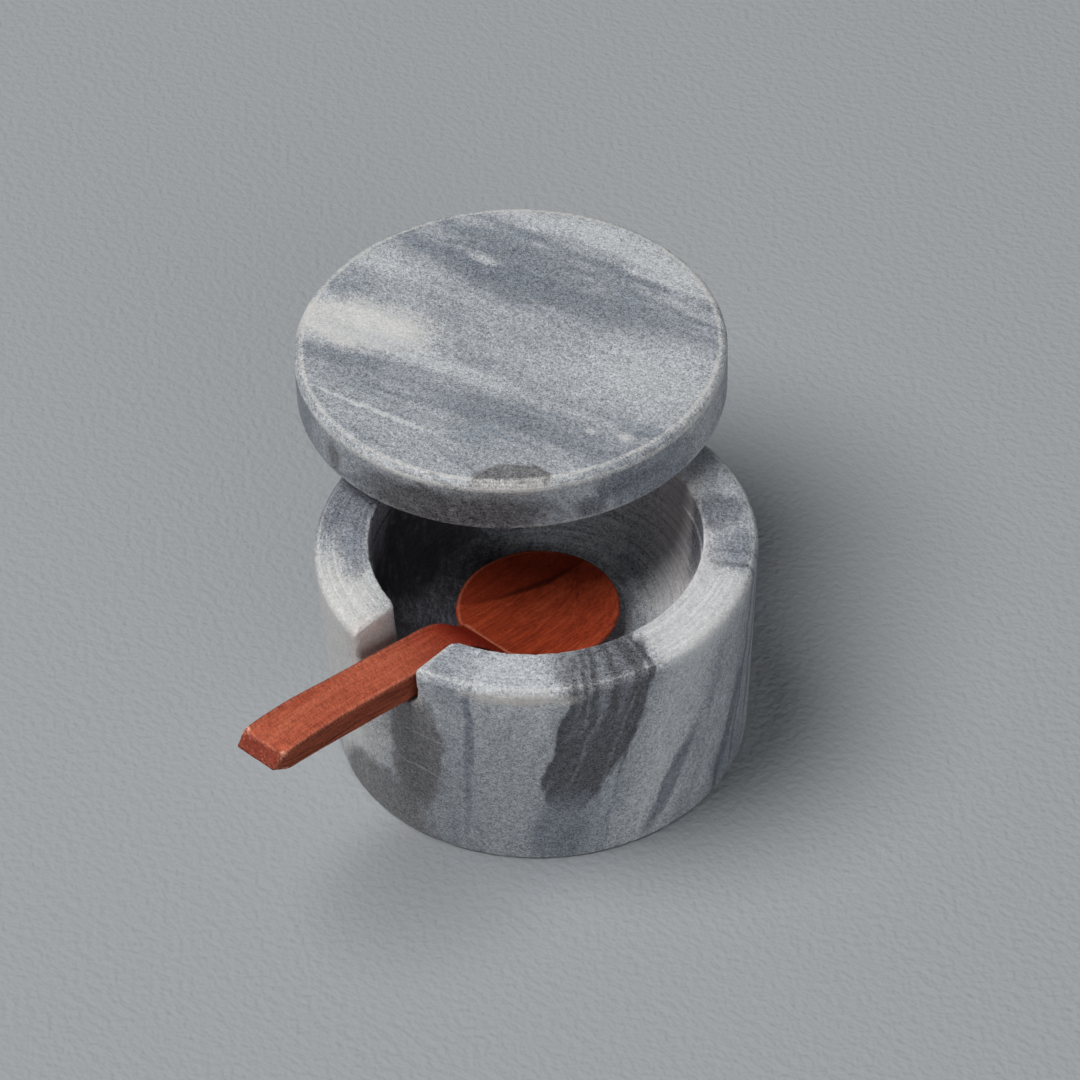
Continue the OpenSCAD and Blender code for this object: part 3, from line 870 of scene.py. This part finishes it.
def growth_line(finish, colour, bent, bowl):
    """One dark growth line through the bowl, with painted shade on the wood beyond it."""
    off, along, _ = finish.parts(finish.local(bent, LINE_PLACE, (0, 0, LINE_TURN), (1, 1, 1)))
    # painted shade over the bowl's upper left, past the growth line
    beyond = off.ease(0.6, -0.4) * bowl
    colour = finish.mix(colour, SHADED_WOOD, beyond * 0.6)
    gap = ((off * off) * 1.4 + (along * along) * 0.006) ** 0.5
    return finish.mix(colour, GROWTH_LINE, gap.ease(1.05, 0.3) * bowl * 0.8)


def oiled_and_shaded(finish, colour, x, y, handle, facet):
    """Darker at the neck with painted shade, and with oil and handling along the left edge and on the end
    facet.
    """
    # painted shade on the neck's slope before the crease
    neck = y.ease(*NECK_BLEND) * y.ease(CREASE_Y + 0.15, CREASE_Y - 0.15)
    colour = finish.mix(colour, NECK_SHADE, neck * 0.86)
    colour = finish.mix(colour, OILED_EDGE, x.ease(*LEFT_EDGE_BLEND) * handle * 0.45)
    return finish.mix(colour, OILED_FACET, facet)


def rim_wear_and_highlight(x, y):
    """The rim's inner edge and its run across the foot of the neck, as a painted highlight with light wear.
    """
    across, back = x - SPOON_X, y - BOWL_Y
    from_crease = abs(y - (CREASE_Y + 0.4))
    from_lip = abs((across * across + back * back) ** 0.5 - (BOWL_R - LIP_W))
    chord = from_crease.ease(1.0, 0.35) * abs(across).ease(*CHORD_BLEND)
    return chord.most(from_lip.ease(0.35, 0.1) * x.ease(*LIP_BLEND) * 0.4)


def spoon_wood():
    finish = Finish("oiled_red_wood")
    axis = finish.local(finish.place, (SPOON_X, BOWL_Y, BOWL_TOP), (GRAIN_TILT, 0, 0), (1, 1, 1))
    bent = finish.warp(axis, *GRAIN_WAVES)
    rings = finish.streaks(bent, RING_RATES, 3, 0.55)
    grain = finish.streaks(bent, GRAIN_RATES, 3, 0.6)
    fibre = finish.streaks(axis, FIBRE_RATES, 2, 0.6)
    pores = finish.streaks(axis, PORE_RATES, 1, 0.5).ease(0.62, 0.72)
    scuffs = knife_marks(finish, axis, SCUFF_TURN, SCUFF_SIZE)
    hatch = knife_marks(finish, axis, HATCH_TURN, HATCH_SIZE)
    arris = finish.node("ShaderNodeAttribute", {"attribute_name": "arris"}, out="Fac")
    flank = finish.node("ShaderNodeAttribute", {"attribute_name": "flank"}, out="Fac")

    x, y, _ = finish.parts(finish.place)
    handle = y.ease(*HANDLE_BLEND)
    outer = y.ease(*OUTER_BLEND)
    steep = flank.ease(0.55, 0.9)
    side = steep * y.ease(*FLANK_BLEND)
    facet = y.ease(FACET_START, FACET_START - 0.7) * (1 - steep)

    figure = rings * 0.5 + grain * 0.5
    bowl_colour = finish.node("ShaderNodeValToRGB", {"stops": BOWL_STOPS}, {0: figure})
    handle_colour = finish.node("ShaderNodeValToRGB", {"stops": HANDLE_STOPS}, {0: figure})
    colour = finish.mix(bowl_colour, handle_colour, handle * 0.35 + outer * 0.65)
    brown = finish.mix(DARK_FLANK, BROWN_FLANK, (grain * 0.6 + rings * 0.4).ease(0.38, 0.58))
    colour = finish.mix(colour, brown, side * 0.9)
    colour = growth_line(finish, colour, bent, 1 - handle)
    colour = finish.mix(colour, PORE, pores * (0.25 + side * 0.45))
    colour = oiled_and_shaded(finish, colour, x, y, handle, facet * (0.55 + grain * 0.6))

    # the arrises are worn light, above all at the crease before the tip, and knife marks break them up
    end_crease = y.ease(TIP_CREASE + 1.4, TIP_CREASE + 0.5) * y.ease(TIP_CREASE - 1.2, TIP_CREASE - 0.5)
    worn = arris.ease(0.06, 0.3) * (0.08 + y.ease(*WEAR_BLEND) * 0.1 + end_crease) * (1 - facet * 0.7)
    scuffed = worn.most(facet * scuffs.ease(0.56, 0.7) * 0.4) * hatch.ease(0.35, 0.65)
    colour = finish.mix(colour, SCUFFED, scuffed * 0.8)
    # a painted highlight, with light wear, along the rim's inner edge and across the foot of the neck
    colour = finish.mix(colour, RIM_WEAR_AND_HIGHLIGHT, rim_wear_and_highlight(x, y) * (0.35 + hatch * 0.5))
    colour = finish.mix(colour, GROOVE, arris.ease(-0.05, -0.3) * handle * 0.6)

    speck = finish.cells(finish.place, SPECKS)
    strokes = (scuffs - 0.5) * (0.55 - handle * 0.3) + (hatch - 0.5) * (0.15 + handle * 0.95)
    tone = 0.76 + fibre * 0.3 + strokes + (grain - 0.5) * 0.3 + (speck - 0.5) * 0.26
    colour = finish.brighten(colour, tone * (0.86 + outer * 0.26))
    height = fibre * 0.4 + scuffs * 0.3 + hatch * 0.3 - pores * 0.5 + grain * 0.2
    return finish.close(
        Base_Color=colour,
        Roughness=0.55 + scuffs * 0.16 + handle * 0.08,
        Normal=finish.bump(height, WOOD_BUMP),
        Specular_IOR_Level=0.1,
    )


# Stage and light

FLOOR_HALF, FLOOR_COLOUR, FLOOR_GRAIN, FLOOR_BUMP = 4000, (0.335, 0.35, 0.366), 0.62, 0.42
# lamps aim this far above the floor, in metres
AIM_HEIGHT = 0.03


def stage():
    side = FLOOR_HALF
    corners = [(-side, -side, 0), (side, -side, 0), (side, side, 0), (-side, side, 0)]
    floor = piece_of("floor", corners, [(0, 1, 2, 3)])
    finish = Finish("floor_paint")
    grain = finish.noise(finish.place, FLOOR_GRAIN, 1, 0.5)
    floor.data.materials.append(finish.close(
        Base_Color=FLOOR_COLOUR,
        Roughness=0.9,
        Normal=finish.bump(grain, FLOOR_BUMP),
        Specular_IOR_Level=0.2,
    ))


def lamp(name, turn, rise, distance, size, power, colour):
    """A round soft box aimed at the cup. turn is its bearing seen from above, from the camera's right,
    and its distance and its size across are in metres."""
    turn = VIEW_TURN + radians(turn)
    way = Vector((cos(radians(rise)) * cos(turn), cos(radians(rise)) * sin(turn), sin(radians(rise))))
    data = bpy.data.lights.new(name, "AREA")
    data.shape, data.size, data.energy, data.color = "DISK", size, power, colour
    box = bpy.data.objects.new(name, data)
    bpy.context.scene.collection.objects.link(box)
    box.location = way * distance + Vector((0, 0, AIM_HEIGHT))
    box.rotation_euler = way.to_track_quat("Z", "Y").to_euler()


def light():
    lamp("soft_box", turn=188, rise=64, distance=3.6, size=2.7, power=131, colour=(1.0, 0.995, 0.985))
    lamp("front_fill", turn=292, rise=17, distance=2.6, size=2.4, power=25, colour=(0.97, 0.985, 1.0))
    world = bpy.data.worlds.new("room")
    bpy.context.scene.world = world
    world.use_nodes = True
    background = world.node_tree.nodes["Background"]
    background.inputs["Color"].default_value = (0.93, 0.96, 1.0, 1)
    background.inputs["Strength"].default_value = 0.118


bpy.context.scene.view_settings.view_transform = "Standard"
stage()
light()

stone_cup, stone_lid, carved_spoon = cup(), lid(), spoon()
stone_cup.data.materials.clear()
stone_cup.data.materials.append(
    marble("cup_marble", cup_rows(), CUP_ALONG, CUP_FACE, (0, 0), cup_turning))
stone_lid.data.materials.append(
    marble("lid_marble", lid_rows(), lid_along(), LID_FACE, (LID_X, LID_Y), lid_turning))
carved_spoon.data.materials.append(spoon_wood())

for piece, node, body, slot in (
    (stone_cup, "body", "cup", "cup_stone"),
    (stone_lid, "lid", "lid", "lid_stone"),
    (carved_spoon, "spoon", "spoon", "spoon_wood"),
):
    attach(piece, body)
    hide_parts(node)
